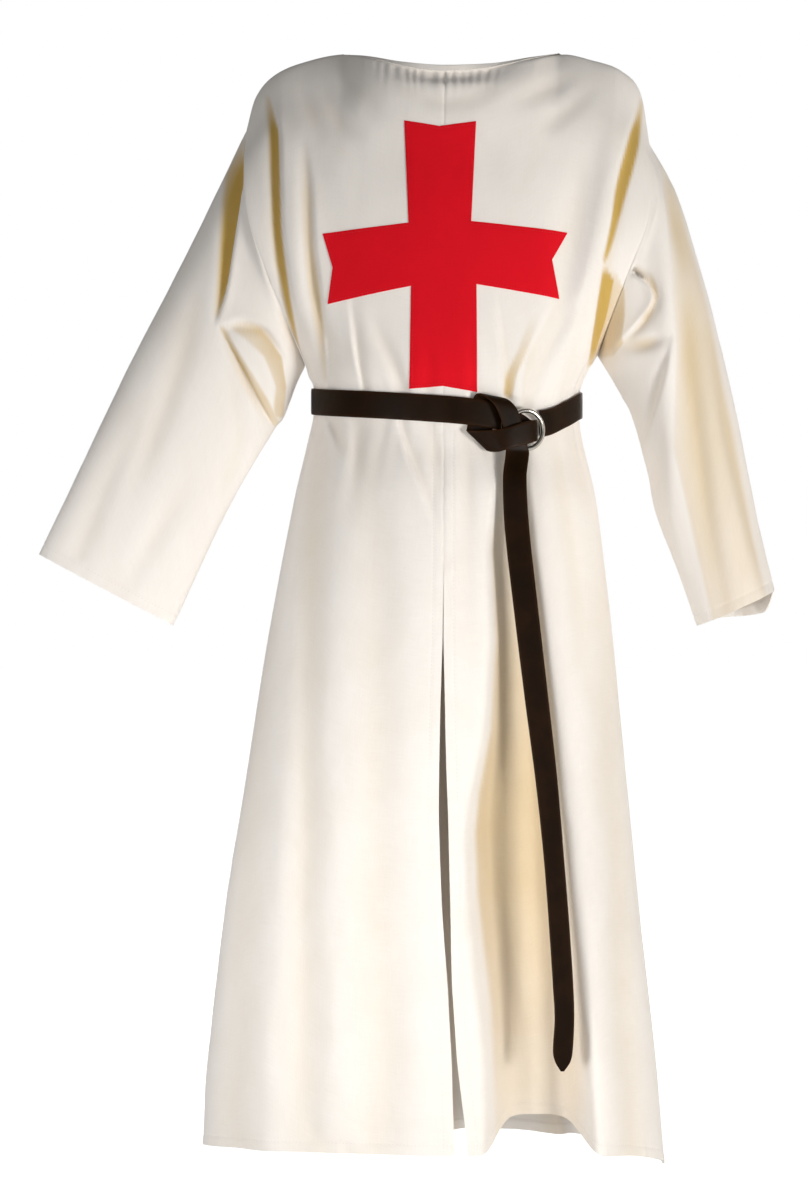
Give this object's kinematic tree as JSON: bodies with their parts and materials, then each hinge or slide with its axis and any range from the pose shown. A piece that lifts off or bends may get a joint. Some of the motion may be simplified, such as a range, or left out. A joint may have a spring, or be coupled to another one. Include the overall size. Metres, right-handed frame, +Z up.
{
  "type": "medieval surcoat with a knotted ring belt",
  "caption": "Long-sleeved ankle-length tunic, open as worn, with a cross on the chest, a slit at the front, and a leather strap tied through a ring at the waist.",
  "frame": {"origin": "midway between the shoulders at the height of the neck opening, where the wearer holds it up", "axes": "+Z up, the wearer faces -Y, the wearer's left is +X"},
  "size_m": [0.892, 0.3701, 1.3551],
  "materials": {
    "cream_cotton": "plain-woven unbleached cotton, matt with a faint sheen",
    "cream_binding": "folded cotton tape, matt",
    "red_cotton": "plain-woven dyed cotton, matt",
    "brown_leather": "smooth dyed strap leather, satin",
    "nickel_ring": "nickel-plated steel wire, polished"
  },
  "bodies": {
    "root": {"front_panel_right": "cream_cotton", "front_panel_left": "cream_cotton", "back_panel": "cream_cotton", "sleeve_right": "cream_cotton", "sleeve_left": "cream_cotton", "neck_binding": "cream_binding", "cross_applique": "red_cotton", "belt_strap": "brown_leather", "belt_tail": "brown_leather", "belt_ring": "nickel_ring"}
  },
  "joints": []
}
